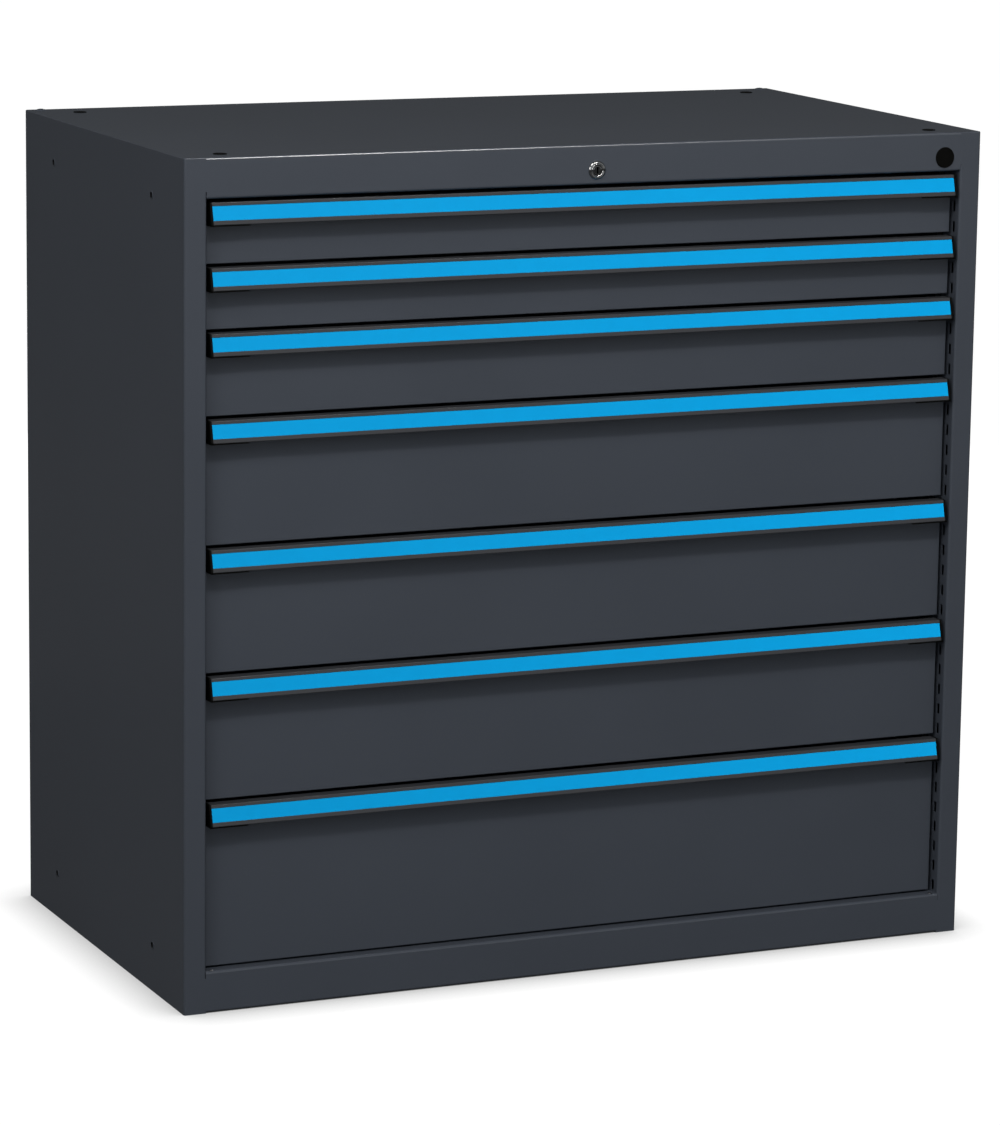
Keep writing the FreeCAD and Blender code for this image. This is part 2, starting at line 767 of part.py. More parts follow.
def domed_screw(x, y, z, radius, height, shank_radius, shank_length):
    """Screw with a low spherical head on the plane z, pointing down."""
    ball_radius = (radius ** 2 + height ** 2) / (2 * height)
    ball = Part.makeSphere(ball_radius, Vector(x, y, z + height - ball_radius))
    head = ball.common(box(x - radius, x + radius, y - radius, y + radius, z, z + height + overshoot))
    return head.fuse(disc(shank_radius, x, y, z, Vector(0, 0, -1), shank_length))


def rear_screws():
    return both_sides([domed_screw(dome_from_centre(), cabinet_depth - dome_y, cabinet_height,
                                   dome_radius, dome_height, dome_shank_radius, dome_shank_length)])


def sill_screws():
    return both_sides([domed_screw(sill_screw_from_centre(), sill_screw_y, sill_height,
                                   sill_screw_radius, sill_screw_height, sill_screw_shank,
                                   sill_screw_length)])


def blanking_plug():
    x = opening_half - plug_from_stile
    back = Vector(0, 1, 0)
    head = disc(plug_radius, x, -plug_proud, lock_z, back, plug_proud)
    head = round_edges(head, head_round * plug_proud, lambda c: near(c.y, -plug_proud))
    stem = disc(plug_stem_radius, x, 0, lock_z, back, plug_stem_length)
    hollow = disc(plug_stem_radius - plug_wall, x, plug_wall, lock_z, back, plug_stem_length)
    return head.fuse(stem.cut(hollow))


def side_insert(y, z):
    outwards = Vector(1, 0, 0)
    inner = half_width - insert_length
    body = disc(insert_radius, inner, y, z, outwards, insert_length)
    rim = disc(insert_rim_radius, half_width, y, z, outwards, insert_rim)
    length = insert_length + insert_rim + 2 * overshoot
    bore = disc(insert_bore, inner - overshoot, y, z, outwards, length)
    return body.fuse(rim).cut(bore)


def build_housing():
    panel = side_panel()
    save("right_side_panel", [panel])
    save("left_side_panel", [mirrored(panel)])
    save("top_panel", [top_panel()])
    save("base_panel", [base_panel()])
    save("back_panel", [back_panel()])
    save("rear_uprights", both_sides([rear_post()]))
    runners = [runner(bottom) for bottom, _ in drawer_lines()]
    save("right_runners", runners)
    save("left_runners", [mirrored(one) for one in runners])
    save("side_inserts", both_sides([side_insert(y, z) for y, z in insert_places()]))
    save("top_plugs", top_plugs())
    save("rear_screws", rear_screws())
    save("sill_screws", sill_screws())
    save("blanking_plug", [blanking_plug()])


def build_lock():
    save("lock_cylinder", lock_cylinder())
    save("lock_core", [lock_core()])
    save("lock_cam", [lock_cam()])
    save("lock_bar", lock_bar())
    save("lock_guides", both_sides([lock_guide(drawer_lines()[k][0]) for k in guide_drawers]))


def build_drawer(number, bottom, top):
    name = "drawer_%d_" % number
    save(name + "tray", [tray(bottom, top)] + both_sides([tray_rail(bottom), lock_stud(bottom)]))
    save(name + "front", [front_panel(bottom, top)])
    save(name + "grip", [grip(top)])
    save(name + "label", [label(top)])
    save(name + "caps", both_sides([end_cap(top)]))
    save(name + "carriages", both_sides(carriage(bottom)))


build_housing()
build_lock()
for index, (bottom_line, top_line) in enumerate(drawer_lines()):
    build_drawer(index + 1, bottom_line, top_line)
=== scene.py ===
"""Looks of the seven-drawer cabinet: paint, plating, plastics, lock face, floor, light and camera."""

import json
import math

import bmesh
import bpy
from mathutils import Matrix, Vector


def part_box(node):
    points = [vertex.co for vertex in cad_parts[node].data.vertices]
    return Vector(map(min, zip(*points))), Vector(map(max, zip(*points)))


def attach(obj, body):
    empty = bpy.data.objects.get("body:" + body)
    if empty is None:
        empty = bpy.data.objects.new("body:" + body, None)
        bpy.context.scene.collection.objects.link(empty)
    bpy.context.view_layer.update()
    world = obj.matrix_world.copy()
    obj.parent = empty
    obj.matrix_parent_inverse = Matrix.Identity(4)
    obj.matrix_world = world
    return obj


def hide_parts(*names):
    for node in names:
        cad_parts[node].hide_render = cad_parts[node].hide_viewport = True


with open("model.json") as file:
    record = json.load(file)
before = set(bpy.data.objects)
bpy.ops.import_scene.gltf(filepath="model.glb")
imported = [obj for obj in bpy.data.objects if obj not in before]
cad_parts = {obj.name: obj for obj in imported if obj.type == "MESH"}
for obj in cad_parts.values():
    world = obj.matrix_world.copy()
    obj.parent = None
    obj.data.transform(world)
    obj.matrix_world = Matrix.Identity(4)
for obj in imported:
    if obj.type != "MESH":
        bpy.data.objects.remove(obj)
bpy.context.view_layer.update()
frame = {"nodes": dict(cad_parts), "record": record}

# Directions: to the right, to the back and up
across = Vector((1.0, 0.0, 0.0))
rearwards = Vector((0.0, 1.0, 0.0))
upwards = Vector((0.0, 0.0, 1.0))

# Camera, solved from the corners of the housing in the photograph
camera_place = Vector((-2.3142, -5.2366, 1.5805))
camera_azimuth = math.radians(-23.924)
camera_elevation = math.radians(11.165)
camera_roll = math.radians(0.767)
focal_length_px = 4696.3
image_height_px = 1125.0
sensor_size = 36.0
view_depth = 200.0

# Studio
floor_half = 60.0
floor_shade = 0.08                # as the camera sees it
floor_glow = 0.985
floor_bounce = 0.12               # as the cabinet sees it
contact_reach = 0.068
contact_shade = 0.15
open_reach = 1.5                  # how far the floor looks for cover, so that it is dark inside
covered_range = (0.05, 0.35)
covered_shade = 0.02
shadow_samples = 12
base_light = 0.064
front_light = 0.67
left_light = 0.38
world_tint = (0.93, 0.97, 1.0)
horizon_light = 1.7
horizon_half = 0.25               # sine of the elevation where the horizon's light ends
far_glow = 0.032                  # floor away from the cabinet, as its faces mirror it
far_from = 1.0
far_full = 4.0
backdrop_light = 1.1              # as the camera sees it
lamp_tint = (1.0, 0.985, 0.965)
front_centre = Vector((0.0, -0.28, 0.5))
back_centre = Vector((0.0, 0.28, 0.5))

# Softboxes: name, place, aim, width and height, watts
softboxes = (
    ("high_light", Vector((-1.2, -2.0, 3.1)), front_centre, (1.3, 0.9), 47.5),
    ("side_light", Vector((-2.9, -1.9, 1.9)), front_centre, (1.0, 1.0), 29.4),
    ("accent_light", Vector((0.60, -2.13, 3.04)), front_centre, (0.9, 0.14), 43.8),
    ("top_fold_light", Vector((0.70, -2.10, 3.00)), front_centre, (0.76, 0.14), 114.0),
    ("label_fill", Vector((1.5, -1.9, 0.2)), front_centre, (0.8, 0.3), 26.2),
    ("back_light", Vector((1.4, 3.3, 0.5)), back_centre, (3.0, 0.8), 55.0),
)
# Nodes that a softbox lights without a gloss
matt_only = {"side_light": ["top_panel"], "accent_light": ["base_panel"]}

# Patterns of the finishes: features per metre with their detail, and the ends of a noise's range
coat_clouds = (5.0, 3.0)
coat_speckle = (2600.0, 1.0)
speckle_share = 0.8
fine_peel_ratio = 3.5
fine_peel_share = 0.35
noise_ends = (0.2, 0.8)
plating_lines = (2200.0, 2.0)
plating_draw = (1.0, 0.02, 1.0)
plating_clouds = (18.0, 4.0, 0.6)
plating_crystals = (420.0, 2.0)
stain_ends = (0.42, 0.68)
crystal_ends = (0.3, 0.7)
crystal_spread = 0.06
moulding_clouds = (60.0, 3.0)
moulding_ends = (0.35, 0.65)
moulding_spread = (0.08, 0.1)

finish_sockets = [("Colour", "NodeSocketColor"), ("Roughness", "NodeSocketFloat"),
                  ("Height", "NodeSocketFloat")]

# Lock, in metres: distances from its axis and behind its foremost plane
bezel_profile = ((0.00575, 0.0013), (0.0060, 0.0007), (0.0064, 0.0002), (0.0069, 0.0),
                 (0.0073, 0.0001), (0.0076, 0.0005), (0.0079, 0.0006), (0.0083, 0.0004),
                 (0.0090, 0.0005), (0.0098, 0.0009), (0.0105, 0.0015), (0.0109, 0.0021),
                 (0.0110, 0.0025))
barrel_radius = 0.008
rail_front = 0.0025               # front of the lock rail behind the bezel's foremost plane
nut_front = 0.0041
nut_back = 0.0079
nut_profile = ((0.0094, nut_front), (0.0118, nut_front), (0.0126, nut_front + 0.0006),
               (0.0126, nut_back - 0.0006), (0.0118, nut_back), (0.0094, nut_back))
core_profile = ((0.0, 0.0), (0.0048, 0.0), (0.0052, 0.0001), (0.0054, 0.0004), (0.0055, 0.0008))
core_radius = 0.0055
key_slot = (0.0009, 0.0040, 0.0118)    # half width, half height, depth
slot_round = 0.00025
nut_sides = 6
lathe_steps = 96

# Rivets of the roller pins on the slides' middle plates: their profile, then for each row the place
# of the plate's face on X, outwards or inwards, and the places of the rivets on Y
rivet_profile = ((0.0, 0.0007), (0.0016, 0.00065), (0.0030, 0.0005), (0.0040, 0.0002), (0.0043, 0.0),
                 (0.0, 0.0))
rivet_rows = ((0.4732, 1.0, (-0.2373, -0.0555)), (0.4712, -1.0, (-0.0073, 0.2293)))
rivet_steps = 24
merge_distance = 0.000001
smooth_below = 35.0               # degrees between faces that are shaded as one
flat_above = 10.0

# Side inserts, as distances from their axis and behind the faces of their rims
insert_rim = 0.0055
insert_mouth = 0.0038
insert_profile = ((insert_mouth, 0.0), (0.0053, 0.0), (insert_rim, 0.0002), (insert_rim, 0.0004),
                  (0.0045, 0.0004), (0.0045, 0.0124), (insert_mouth, 0.0124))
chamfer_start = 0.0001
thread_outer = 0.0030
thread_inner = 0.0025
thread_start = 0.0012
thread_pitch = 0.001
thread_turns = 10
insert_steps = 48


def group(name, inputs, outputs):
    """New shader node group with its input and output nodes."""
    tree = bpy.data.node_groups.new(name, "ShaderNodeTree")
    for label, kind, value in inputs:
        socket = tree.interface.new_socket(label, in_out="INPUT", socket_type=kind)
        socket.default_value = value
    for label, kind in outputs:
        tree.interface.new_socket(label, in_out="OUTPUT", socket_type=kind)
    return tree, tree.nodes.new("NodeGroupInput"), tree.nodes.new("NodeGroupOutput")


def noise(tree, coordinates, scale, detail=2.0, roughness=0.5):
    """Noise texture on the given coordinates. Its scale is a number or a socket."""
    node = tree.nodes.new("ShaderNodeTexNoise")
    node.inputs["Detail"].default_value = detail
    node.inputs["Roughness"].default_value = roughness
    tree.links.new(coordinates, node.inputs["Vector"])
    feed(tree, scale, node.inputs["Scale"])
    return node.outputs["Fac"]


def feed(tree, value, socket):
    """Put a number on a socket, or link another socket to it."""
    if isinstance(value, bpy.types.NodeSocket):
        tree.links.new(value, socket)
    else:
        socket.default_value = value


def maths(tree, operation, first, second=0.0, third=0.0):
    node = tree.nodes.new("ShaderNodeMath")
    node.operation = operation
    for value, socket in zip((first, second, third), node.inputs):
        feed(tree, value, socket)
    return node.outputs[0]


def remap(tree, value, low, high, from_low=0.0, from_high=1.0, curve="LINEAR"):
    node = tree.nodes.new("ShaderNodeMapRange")
    node.interpolation_type = curve
    for name, number in (("From Min", from_low), ("From Max", from_high),
                         ("To Min", low), ("To Max", high)):
        feed(tree, number, node.inputs[name])
    tree.links.new(value, node.inputs["Value"])
    return node.outputs["Result"]


def mix(tree, factor, first, second, blend="MIX"):
    """Colour mix of two colours, each a socket or four numbers."""
    node = tree.nodes.new("ShaderNodeMix")
    node.data_type = "RGBA"
    node.blend_type = blend
    feed(tree, factor, node.inputs["Factor"])
    feed(tree, first, [s for s in node.inputs if s.name == "A" and s.type == "RGBA"][0])
    feed(tree, second, [s for s in node.inputs if s.name == "B" and s.type == "RGBA"][0])
    return [s for s in node.outputs if s.type == "RGBA"][0]


def stretched(tree, along=(1.0, 1.0, 1.0)):
    """Object coordinates, drawn out by a share of their length on each axis."""
    place = tree.nodes.new("ShaderNodeTexCoord")
    mapping = tree.nodes.new("ShaderNodeMapping")
    mapping.inputs["Scale"].default_value = along
    tree.links.new(place.outputs["Object"], mapping.inputs["Vector"])
    return mapping.outputs["Vector"]


def shade_by(tree, colour, amount, spread):
    """Colour made darker and lighter by spread as amount goes from 0 to 1."""
    low = maths(tree, "SUBTRACT", 1.0, spread)
    high = maths(tree, "ADD", 1.0, spread)
    gain = remap(tree, amount, low, high, *noise_ends, "SMOOTHSTEP")
    grey = tree.nodes.new("ShaderNodeCombineColor")
    for socket in grey.inputs:
        tree.links.new(gain, socket)
    return mix(tree, 1.0, colour, grey.outputs["Color"], "MULTIPLY")


def powder_coat_group():
    """Baked powder: slow shade changes, orange peel and a fine grain."""
    tree, given, made = group(
        "powder_coat",
        [("Colour", "NodeSocketColor", (0.03, 0.03, 0.03, 1.0)),
         ("Shade spread", "NodeSocketFloat", 0.06),
         ("Peel per metre", "NodeSocketFloat", 700.0), ("Roughness", "NodeSocketFloat", 0.45),
         ("Roughness spread", "NodeSocketFloat", 0.08)],
        finish_sockets)
    place = stretched(tree)
    clouds = noise(tree, place, *coat_clouds)
    speckle = noise(tree, place, *coat_speckle)
    peel = noise(tree, place, given.outputs["Peel per metre"], 2.0)
    fine_per_metre = maths(tree, "MULTIPLY", given.outputs["Peel per metre"], fine_peel_ratio)
    fine = noise(tree, place, fine_per_metre, 1.0)
    shaded = shade_by(tree, given.outputs["Colour"], clouds, given.outputs["Shade spread"])
    spread = maths(tree, "MULTIPLY", given.outputs["Shade spread"], speckle_share)
    shaded = shade_by(tree, shaded, speckle, spread)
    tree.links.new(shaded, made.inputs["Colour"])
    low = maths(tree, "SUBTRACT", given.outputs["Roughness"], given.outputs["Roughness spread"])
    high = maths(tree, "ADD", given.outputs["Roughness"], given.outputs["Roughness spread"])
    roughness = remap(tree, clouds, low, high, *noise_ends, "SMOOTHSTEP")
    tree.links.new(roughness, made.inputs["Roughness"])
    tree.links.new(maths(tree, "MULTIPLY_ADD", fine, fine_peel_share, peel), made.inputs["Height"])
    return tree


def plating_group():
    """Plated steel: crystals of the plating, faint stains and drawing lines along one axis."""
    tree, given, made = group(
        "plating",
        [("Colour", "NodeSocketColor", (0.5, 0.5, 0.5, 1.0)),
         ("Stain colour", "NodeSocketColor", (0.4, 0.4, 0.35, 1.0)),
         ("Stain share", "NodeSocketFloat", 0.35), ("Roughness", "NodeSocketFloat", 0.3),
         ("Roughness spread", "NodeSocketFloat", 0.1)],
        finish_sockets)
    place = stretched(tree)
    lines = noise(tree, stretched(tree, plating_draw), *plating_lines)
    clouds = noise(tree, place, *plating_clouds)
    crystals = noise(tree, place, *plating_crystals)
    stain = remap(tree, clouds, 0.0, 1.0, *stain_ends)
    stain = maths(tree, "MULTIPLY", stain, given.outputs["Stain share"])
    colour = mix(tree, stain, given.outputs["Colour"], given.outputs["Stain colour"])
    colour = shade_by(tree, colour, crystals, crystal_spread)
    tree.links.new(colour, made.inputs["Colour"])
    low = maths(tree, "SUBTRACT", given.outputs["Roughness"], given.outputs["Roughness spread"])
    high = maths(tree, "ADD", given.outputs["Roughness"], given.outputs["Roughness spread"])
    tree.links.new(remap(tree, crystals, low, high, *crystal_ends), made.inputs["Roughness"])
    tree.links.new(lines, made.inputs["Height"])
    return tree


def moulding_group():
    """Moulded plastic: spark-eroded grain and a faint bloom."""
    tree, given, made = group(
        "moulding",
        [("Colour", "NodeSocketColor", (0.01, 0.01, 0.01, 1.0)), ("Bloom", "NodeSocketFloat", 0.2),
         ("Grain per metre", "NodeSocketFloat", 1800.0), ("Roughness", "NodeSocketFloat", 0.5)],
        finish_sockets)
    place = stretched(tree)
    grain = noise(tree, place, given.outputs["Grain per metre"], 2.0)
    clouds = noise(tree, place, *moulding_clouds)
    shaded = shade_by(tree, given.outputs["Colour"], clouds, given.outputs["Bloom"])
    tree.links.new(shaded, made.inputs["Colour"])
    low = maths(tree, "SUBTRACT", given.outputs["Roughness"], moulding_spread[0])
    high = maths(tree, "ADD", given.outputs["Roughness"], moulding_spread[1])
    tree.links.new(remap(tree, grain, low, high, *moulding_ends), made.inputs["Roughness"])
    tree.links.new(grain, made.inputs["Height"])
    return tree


groups = {"powder_coat": powder_coat_group(), "plating": plating_group(),
          "moulding": moulding_group()}


def finish_of(name, effect, values, metallic=0.0, relief=0.00004, ior=1.5, specular=0.5):
    """Material whose colour, roughness and relief come from one of the groups."""
    material = bpy.data.materials.new(name)
    material.use_nodes = True
    tree = material.node_tree
    shader = tree.nodes["Principled BSDF"]
    node = tree.nodes.new("ShaderNodeGroup")
    node.node_tree = groups[effect]
    for label, value in values.items():
        node.inputs[label].default_value = value
    bump = tree.nodes.new("ShaderNodeBump")
    bump.inputs["Strength"].default_value = 1.0
    bump.inputs["Distance"].default_value = relief
    tree.links.new(node.outputs["Height"], bump.inputs["Height"])
    tree.links.new(node.outputs["Colour"], shader.inputs["Base Color"])
    tree.links.new(node.outputs["Roughness"], shader.inputs["Roughness"])
    tree.links.new(bump.outputs["Normal"], shader.inputs["Normal"])
    shader.inputs["Metallic"].default_value = metallic
    shader.inputs["Specular IOR Level"].default_value = specular
    shader.inputs["IOR"].default_value = ior
    return material


finishes = {
    "housing_paint": finish_of("anthracite_coat", "powder_coat", {
        "Colour": (0.039, 0.0445, 0.0555, 1.0), "Shade spread": 0.03, "Peel per metre": 650.0,
        "Roughness": 0.26, "Roughness spread": 0.012}, ior=1.4, relief=0.00001),
    "front_paint": finish_of("anthracite_front_coat", "powder_coat", {
        "Colour": (0.039, 0.0445, 0.0555, 1.0), "Shade spread": 0.03, "Peel per metre": 650.0,
        "Roughness": 0.26, "Roughness spread": 0.012}, ior=1.4, relief=0.00001),
    "tray_paint": finish_of("anthracite_tray_coat", "powder_coat", {
        "Colour": (0.039, 0.044, 0.054, 1.0), "Shade spread": 0.06, "Peel per metre": 520.0,
        "Roughness": 0.38, "Roughness spread": 0.04}, ior=1.4, relief=0.00003),
    "grip_aluminium": finish_of("grey_grip_coat", "powder_coat", {
        "Colour": (0.024, 0.025, 0.028, 1.0), "Shade spread": 0.04, "Peel per metre": 1100.0,
        "Roughness": 0.34, "Roughness spread": 0.03}, ior=1.35, relief=0.00001),
    "label_blue": finish_of("blue_strip", "moulding", {
        "Colour": (0.0, 0.208, 0.443, 1.0), "Bloom": 0.02, "Grain per metre": 900.0,
        "Roughness": 0.5}, ior=1.15, relief=0.000008),
    "black_plastic": finish_of("black_moulding", "moulding", {
        "Colour": (0.0022, 0.0022, 0.0019, 1.0), "Bloom": 0.15, "Grain per metre": 2200.0,
        "Roughness": 0.5}, specular=0.03, relief=0.00003),
    "slide_steel": finish_of("zinc_plate", "plating", {
        "Colour": (0.46, 0.47, 0.49, 1.0), "Stain colour": (0.38, 0.37, 0.31, 1.0),
        "Stain share": 0.4, "Roughness": 0.33, "Roughness spread": 0.08},
        metallic=1.0, relief=0.00001),
    "insert_steel": finish_of("dull_zinc_plate", "plating", {
        "Colour": (0.34, 0.34, 0.35, 1.0), "Stain colour": (0.26, 0.25, 0.22, 1.0),
        "Stain share": 0.4, "Roughness": 0.3, "Roughness spread": 0.06},
        metallic=1.0, relief=0.00001),
    # Near-black threads: painted shade inside the insert bores
    "threads_in_painted_shade": finish_of("threads_in_painted_shade", "plating", {
        "Colour": (0.008, 0.008, 0.008, 1.0), "Stain colour": (0.004, 0.004, 0.004, 1.0),
        "Stain share": 0.5, "Roughness": 0.45, "Roughness spread": 0.06},
        metallic=1.0, relief=0.00001),
    # Nickel darker than real nickel: painted shade, so that the lock mirrors a darker room
    "lock_chrome": finish_of("nickel_dimmed_as_painted_shade", "plating", {
        "Colour": (0.21, 0.21, 0.21, 1.0), "Stain colour": (0.17, 0.17, 0.16, 1.0),
        "Stain share": 0.15, "Roughness": 0.11, "Roughness spread": 0.03},
        metallic=1.0, relief=0.000003),
}


def dress_nodes():
    """Give each CAD node the finish of its material slot."""
    for part in frame["record"]["subparts"]:
        mesh = frame["nodes"][part["node"]].data
        mesh.materials.clear()
        mesh.materials.append(finishes[part["material_slot"]])


def turn(shape, profile, centre, axis, radial, steps, closed=False):
    """Add a turned body. Each profile point is a distance from the axis and one along it."""
    rim = [shape.verts.new(centre + radial * radius + axis * depth) for radius, depth in profile]
    pairs = list(zip(rim, rim[1:]))
    if closed:
        pairs.append((rim[-1], rim[0]))
    edges = [shape.edges.new(pair) for pair in pairs]
    bmesh.ops.spin(shape, geom=rim + edges, cent=centre, axis=axis, angle=math.tau, steps=steps,
                   use_merge=True)


def make_piece(name, shape, slot, body, smooth=smooth_below):
    """Object of a bmesh, with the finish of its slot, that moves with a body."""
    bmesh.ops.remove_doubles(shape, verts=shape.verts[:], dist=merge_distance)
    bmesh.ops.recalc_face_normals(shape, faces=shape.faces[:])
    mesh = bpy.data.meshes.new(name)
    shape.to_mesh(mesh)
    shape.free()
    mesh.shade_smooth()
    mesh.set_sharp_from_angle(angle=math.radians(smooth))
    mesh.materials.append(finishes[slot])
    piece = bpy.data.objects.new(name, mesh)
    bpy.context.scene.collection.objects.link(piece)
    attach(piece, body)
    return piece


def lock_axis(node):
    """Foremost point of a lock node on its axis, and the node's length."""
    low, high = (Vector(corner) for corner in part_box(node))
    return Vector(((low.x + high.x) / 2, low.y, (low.z + high.z) / 2)), high.y - low.y


def make_lock_bezel():
    """Domed bezel with a raised rim, its barrel, and the nut behind the rail."""
    front, length = lock_axis("lock_cylinder")
    outline = list(bezel_profile) + [(barrel_radius, rail_front), (barrel_radius, length),
                                     (bezel_profile[0][0], length)]
    shape = bmesh.new()
    turn(shape, outline, front, rearwards, across, lathe_steps, closed=True)
    bezel = make_piece("lock_bezel", shape, "lock_chrome", "root")
    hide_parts("lock_cylinder")
    shape = bmesh.new()
    turn(shape, nut_profile, front, rearwards, across, nut_sides, closed=True)
    make_piece("lock_nut", shape, "lock_chrome", "root")


def make_lock_face():
    """Keyed core with a chamfered face and a bevelled key slot."""
    front, length = lock_axis("lock_core")
    outline = list(core_profile) + [(core_radius, length), (0.0, length)]
    shape = bmesh.new()
    turn(shape, outline, front, rearwards, across, lathe_steps)
    bmesh.ops.remove_doubles(shape, verts=shape.verts[:], dist=merge_distance)

    def front_faces():
        return [face for face in shape.faces
                if abs(face.calc_center_median().y - front.y) < merge_distance]

    bmesh.ops.dissolve_faces(shape, faces=front_faces(), use_verts=False)
    half_width, half_height, depth = key_slot
    for offset in ((half_width, 0.0, 0.0), (-half_width, 0.0, 0.0),
                   (0.0, 0.0, half_height), (0.0, 0.0, -half_height)):
        flat = front_faces()
        edges = {edge for face in flat for edge in face.edges}
        corners = {corner for face in flat for corner in face.verts}
        bmesh.ops.bisect_plane(shape, geom=flat + list(edges) + list(corners),
                               plane_co=front + Vector(offset), plane_no=Vector(offset).normalized(),
                               dist=merge_distance)

    def in_slot(point):
        return (abs(point.x - front.x) < half_width + merge_distance
                and abs(point.y - front.y) < merge_distance
                and abs(point.z - front.z) < half_height + merge_distance)

    mouth = [face for face in shape.faces if in_slot(face.calc_center_median())]
    sunk = bmesh.ops.extrude_face_region(shape, geom=mouth)["geom"]
    sunk_corners = [item for item in sunk if isinstance(item, bmesh.types.BMVert)]
    bmesh.ops.translate(shape, verts=sunk_corners, vec=(0.0, depth, 0.0))
    lid = [face for face in shape.faces if in_slot(face.calc_center_median())]
    bmesh.ops.delete(shape, geom=lid, context="FACES_ONLY")
    rim = [edge for edge in shape.edges if all(in_slot(corner.co) for corner in edge.verts)]
    bmesh.ops.bevel(shape, geom=rim, offset=slot_round, offset_type="OFFSET", segments=2, profile=0.5,
                    affect="EDGES", material=-1)
    face = make_piece("lock_face", shape, "lock_chrome", "lock_rotor", flat_above)
    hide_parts("lock_core")


def turn_inserts(profile):
    """Bmesh with a turned body in each of the eight side inserts."""
    low, high = (Vector(corner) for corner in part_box("side_inserts"))
    shape = bmesh.new()
    for x, inwards in ((low.x, 1.0), (high.x, -1.0)):
        for y in (low.y + insert_rim, high.y - insert_rim):
            for z in (low.z + insert_rim, high.z - insert_rim):
                turn(shape, profile, Vector((x, y, z)), across * inwards, upwards, insert_steps,
                     closed=True)
    return shape


def make_inserts():
    """Rims of the side inserts in the housing's paint, and their bare threads with a chamfered mouth,
    coloured near black as painted shade in the bores.
    """
    rims = make_piece("side_insert_rims", turn_inserts(insert_profile), "housing_paint", "root")
    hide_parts("side_inserts")
    outline = [(insert_mouth, chamfer_start)]
    for number in range(thread_turns):
        depth = thread_start + number * thread_pitch
        outline += [(thread_outer, depth), (thread_inner, depth + thread_pitch / 2)]
    end = thread_start + thread_turns * thread_pitch
    outline += [(thread_outer, end), (insert_mouth, end)]
    threads = make_piece("side_insert_threads", turn_inserts(outline), "insert_steel", "root",
                         flat_above)
    # The threads take the near-black finish: painted shade in the bores
    threads.data.materials[0] = finishes["threads_in_painted_shade"]


def make_rivets():
    """Low rivet heads on the middle plates of the slides, opposite their rollers."""
    for number in range(1, 8):
        low, high = (Vector(corner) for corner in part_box("drawer_%d_carriages" % number))
        height = (low.z + high.z) / 2
        shape = bmesh.new()
        for side in (-1.0, 1.0):
            for face, outwards, depths in rivet_rows:
                for depth in depths:
                    turn(shape, rivet_profile, Vector((side * face, depth, height)),
                         across * (side * outwards), upwards, rivet_steps)
        make_piece("drawer_%d_rivets" % number, shape, "slide_steel", "drawer_%d_middle" % number)


def floor_material():
    """White floor with a narrow contact shadow, which throws little light back at the cabinet."""
    material = bpy.data.materials.new("studio_floor")
    material.use_nodes = True
    tree = material.node_tree
    tree.nodes.remove(tree.nodes["Principled BSDF"])
    near = tree.nodes.new("ShaderNodeAmbientOcclusion")
    near.samples = shadow_samples
    near.inputs["Distance"].default_value = contact_reach
    wide = tree.nodes.new("ShaderNodeAmbientOcclusion")
    wide.samples = shadow_samples
    wide.inputs["Distance"].default_value = open_reach
    outside = remap(tree, wide.outputs["AO"], covered_shade, 1.0, *covered_range)
    shade = maths(tree, "MULTIPLY", remap(tree, near.outputs["AO"], contact_shade, 1.0), outside)
    lit = tree.nodes.new("ShaderNodeBsdfDiffuse")
    grey = tree.nodes.new("ShaderNodeCombineColor")
    for socket in grey.inputs:
        tree.links.new(maths(tree, "MULTIPLY", shade, floor_shade), socket)
    tree.links.new(grey.outputs["Color"], lit.inputs["Color"])
    glow = tree.nodes.new("ShaderNodeEmission")
    tree.links.new(maths(tree, "MULTIPLY", shade, floor_glow), glow.inputs["Strength"])
    both = tree.nodes.new("ShaderNodeAddShader")
    tree.links.new(lit.outputs["BSDF"], both.inputs[0])
    tree.links.new(glow.outputs["Emission"], both.inputs[1])
    dull = tree.nodes.new("ShaderNodeBsdfDiffuse")
    dull.inputs["Color"].default_value = (floor_bounce, floor_bounce, floor_bounce, 1.0)
    place = tree.nodes.new("ShaderNodeTexCoord")
    distance = tree.nodes.new("ShaderNodeVectorMath")
    distance.operation = "LENGTH"
    tree.links.new(place.outputs["Object"], distance.inputs[0])
    far = tree.nodes.new("ShaderNodeEmission")
    strength = remap(tree, distance.outputs["Value"], 0.0, far_glow, far_from, far_full, "SMOOTHSTEP")
    tree.links.new(strength, far.inputs["Strength"])
    unseen = tree.nodes.new("ShaderNodeAddShader")
    tree.links.new(dull.outputs["BSDF"], unseen.inputs[0])
    tree.links.new(far.outputs["Emission"], unseen.inputs[1])
    path = tree.nodes.new("ShaderNodeLightPath")
    choose = tree.nodes.new("ShaderNodeMixShader")
    tree.links.new(path.outputs["Is Camera Ray"], choose.inputs["Fac"])
    tree.links.new(unseen.outputs["Shader"], choose.inputs[1])
    tree.links.new(both.outputs["Shader"], choose.inputs[2])
    tree.links.new(choose.outputs["Shader"], tree.nodes["Material Output"].inputs["Surface"])
    return material


def make_floor():
    mesh = bpy.data.meshes.new("studio_floor")
    shape = bmesh.new()
    bmesh.ops.create_grid(shape, x_segments=1, y_segments=1, size=floor_half)
    shape.to_mesh(mesh)
    shape.free()
    mesh.materials.append(floor_material())
    floor = bpy.data.objects.new("studio_floor", mesh)
    bpy.context.scene.collection.objects.link(floor)


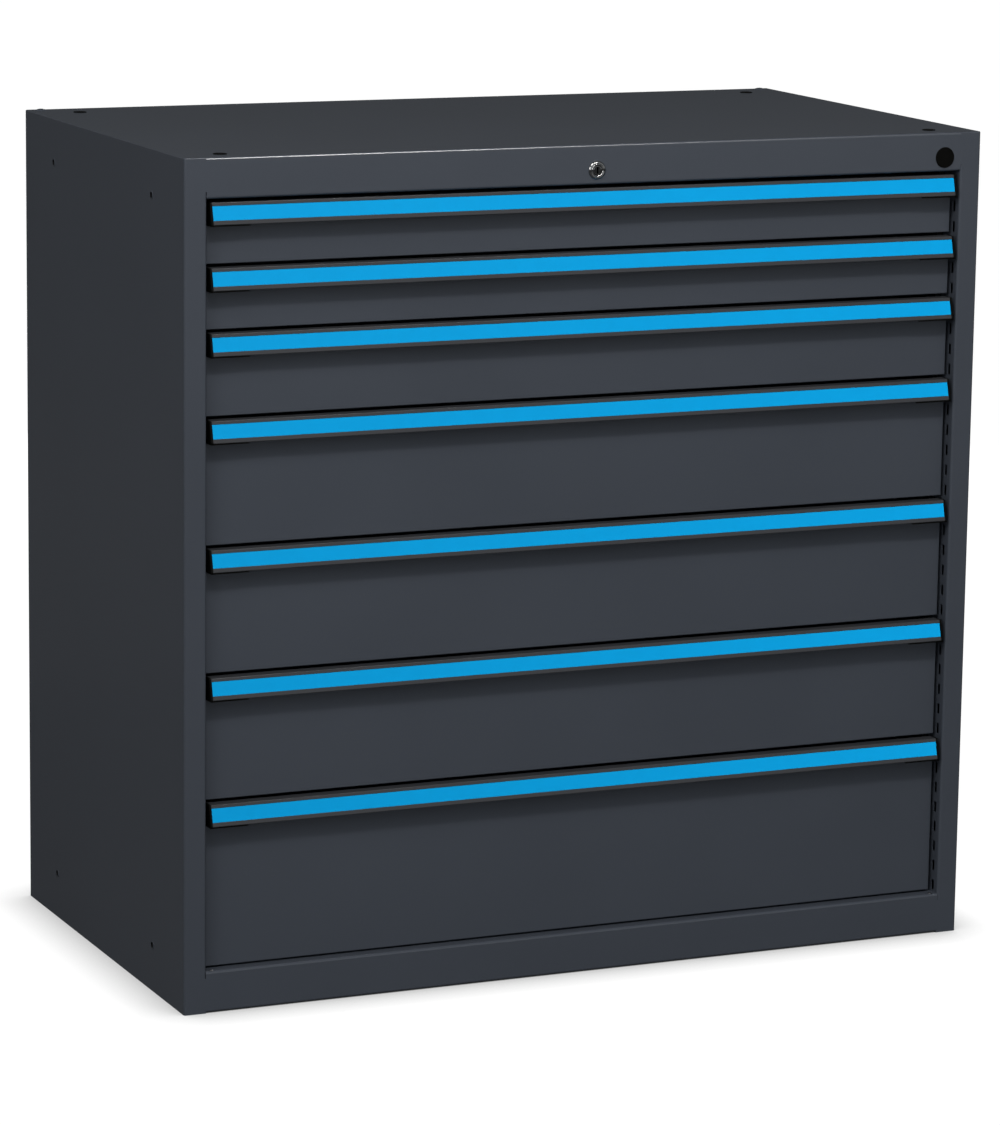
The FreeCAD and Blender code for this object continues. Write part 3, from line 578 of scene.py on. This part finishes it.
def make_world():
    """Soft light from the front and the left, strongest near the horizon, and plain white behind."""
    world = bpy.data.worlds.new("studio")
    bpy.context.scene.world = world
    world.use_nodes = True
    tree = world.node_tree
    light = tree.nodes["Background"]
    place = tree.nodes.new("ShaderNodeTexCoord")
    split = tree.nodes.new("ShaderNodeSeparateXYZ")
    tree.links.new(place.outputs["Generated"], split.inputs["Vector"])
    light.inputs["Color"].default_value = (*world_tint, 1.0)
    strength = base_light
    for axis, share in (("Y", front_light), ("X", left_light)):
        lobe = maths(tree, "MAXIMUM", maths(tree, "MULTIPLY", split.outputs[axis], -1.0), 0.0)
        strength = maths(tree, "MULTIPLY_ADD", lobe, share, strength)
    front = maths(tree, "MAXIMUM", maths(tree, "MULTIPLY", split.outputs["Y"], -1.0), 0.0)
    rise = maths(tree, "ABSOLUTE", split.outputs["Z"])
    low = remap(tree, rise, horizon_light, 0.0, 0.0, horizon_half, "SMOOTHSTEP")
    strength = maths(tree, "MULTIPLY_ADD", front, low, strength)
    tree.links.new(strength, light.inputs["Strength"])
    white = tree.nodes.new("ShaderNodeBackground")
    white.inputs["Color"].default_value = (1.0, 1.0, 1.0, 1.0)
    white.inputs["Strength"].default_value = backdrop_light
    path = tree.nodes.new("ShaderNodeLightPath")
    choose = tree.nodes.new("ShaderNodeMixShader")
    tree.links.new(path.outputs["Is Camera Ray"], choose.inputs["Fac"])
    tree.links.new(light.outputs["Background"], choose.inputs[1])
    tree.links.new(white.outputs["Background"], choose.inputs[2])
    tree.links.new(choose.outputs["Shader"], tree.nodes["World Output"].inputs["Surface"])


def away(azimuth, elevation):
    """Direction from the object towards an azimuth and elevation; azimuth 0 is the front."""
    return Vector((math.sin(azimuth) * math.cos(elevation), -math.cos(azimuth) * math.cos(elevation),
                   math.sin(elevation)))


def make_softbox(name, place, aim, size, power):
    data = bpy.data.lights.new(name, "AREA")
    data.shape = "RECTANGLE"
    data.size, data.size_y = size
    data.energy = power
    data.color = lamp_tint
    box = bpy.data.objects.new(name, data)
    box.location = place
    box.rotation_mode = "QUATERNION"
    box.rotation_quaternion = (place - aim).to_track_quat("Z", "Y")
    box.visible_camera = False
    bpy.context.scene.collection.objects.link(box)
    return box


def link_light(box, nodes, state):
    """Let a softbox light some CAD nodes alone, or all but those."""
    linked = bpy.data.collections.new(box.name + "_nodes")
    for node in nodes:
        linked.objects.link(frame["nodes"][node])
    for item in linked.collection_objects:
        item.light_linking.link_state = state
    box.light_linking.receiver_collection = linked


def make_lights():
    """Softboxes. Two nodes don't mirror one of them, the top's fold has one of its own, and a matt
    fill keeps the blue strips even."""
    for name, place, aim, size, power in softboxes:
        box = make_softbox(name, place, aim, size, power)
        if name in matt_only:
            link_light(box, matt_only[name], "EXCLUDE")
            fill = make_softbox(name + "_fill", place, aim, size, power)
            link_light(fill, matt_only[name], "INCLUDE")
            fill.visible_glossy = False
        if name == "top_fold_light":
            link_light(box, ["top_panel"], "INCLUDE")
            box.visible_diffuse = False
        if name == "label_fill":
            link_light(box, ["drawer_%d_label" % number for number in range(1, 8)], "INCLUDE")
            box.visible_glossy = False


def make_camera():
    data = bpy.data.cameras.new("camera")
    data.sensor_width = sensor_size
    data.lens = focal_length_px / image_height_px * sensor_size
    data.clip_end = view_depth
    camera = bpy.data.objects.new("camera", data)
    back = away(camera_azimuth, camera_elevation)
    right = (-back).cross(upwards).normalized()
    up = right.cross(-back)
    turned_right = right * math.cos(camera_roll) + up * math.sin(camera_roll)
    turned_up = up * math.cos(camera_roll) - right * math.sin(camera_roll)
    facing = Matrix((turned_right, turned_up, back)).transposed()
    camera.matrix_world = Matrix.Translation(camera_place) @ facing.to_4x4()
    bpy.context.scene.collection.objects.link(camera)
    bpy.context.scene.camera = camera


make_camera()
make_floor()
make_world()
make_lights()
bpy.context.scene.view_settings.view_transform = "Standard"
dress_nodes()
make_lock_bezel()
make_lock_face()
make_inserts()
make_rivets()
